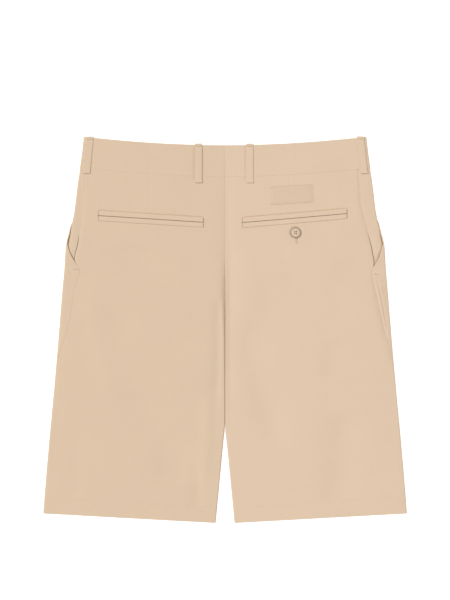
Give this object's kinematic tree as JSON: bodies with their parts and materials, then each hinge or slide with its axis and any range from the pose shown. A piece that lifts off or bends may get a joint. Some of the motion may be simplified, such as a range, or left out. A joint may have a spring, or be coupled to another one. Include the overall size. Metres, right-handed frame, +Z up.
{
  "type": "chino shorts",
  "caption": "Knee-length chino shorts laid flat with the back facing up, with a waistband and belt loops, welt back pockets, slant side pockets and plain hems.",
  "frame": {"origin": "middle of the laid garment's footprint, on the surface that it lies on", "axes": "+X across to the right of the back view, +Y from the hems to the waist, +Z up out of the back, which faces up; the front lies underneath"},
  "size_m": [0.509, 0.5408, 0.0098],
  "materials": {
    "twill": "sand cotton twill, matt, fine diagonal rib",
    "label": "tone-on-tone woven patch, matt",
    "button": "dyed polyester button, satin, raised rim",
    "zip_tape": "woven tape, matt"
  },
  "bodies": {
    "root": {"back_left": "twill", "back_right": "twill", "front_left": "twill", "front_right": "twill", "waistband_left": "twill", "waistband_right": "twill", "pocket_bearer_left": "twill", "pocket_bearer_right": "twill", "belt_loop_back_left": "twill", "belt_loop_back_right": "twill", "belt_loop_side_left": "twill", "belt_loop_side_right": "twill", "belt_loop_front_left": "twill", "belt_loop_front_right": "twill", "welt_left_upper": "twill", "welt_left_lower": "twill", "welt_right_upper": "twill", "welt_right_lower": "twill", "fly_underlap": "twill", "fly_zip": "zip_tape", "seat_label": "label", "back_pocket_button": "button"}
  },
  "joints": []
}
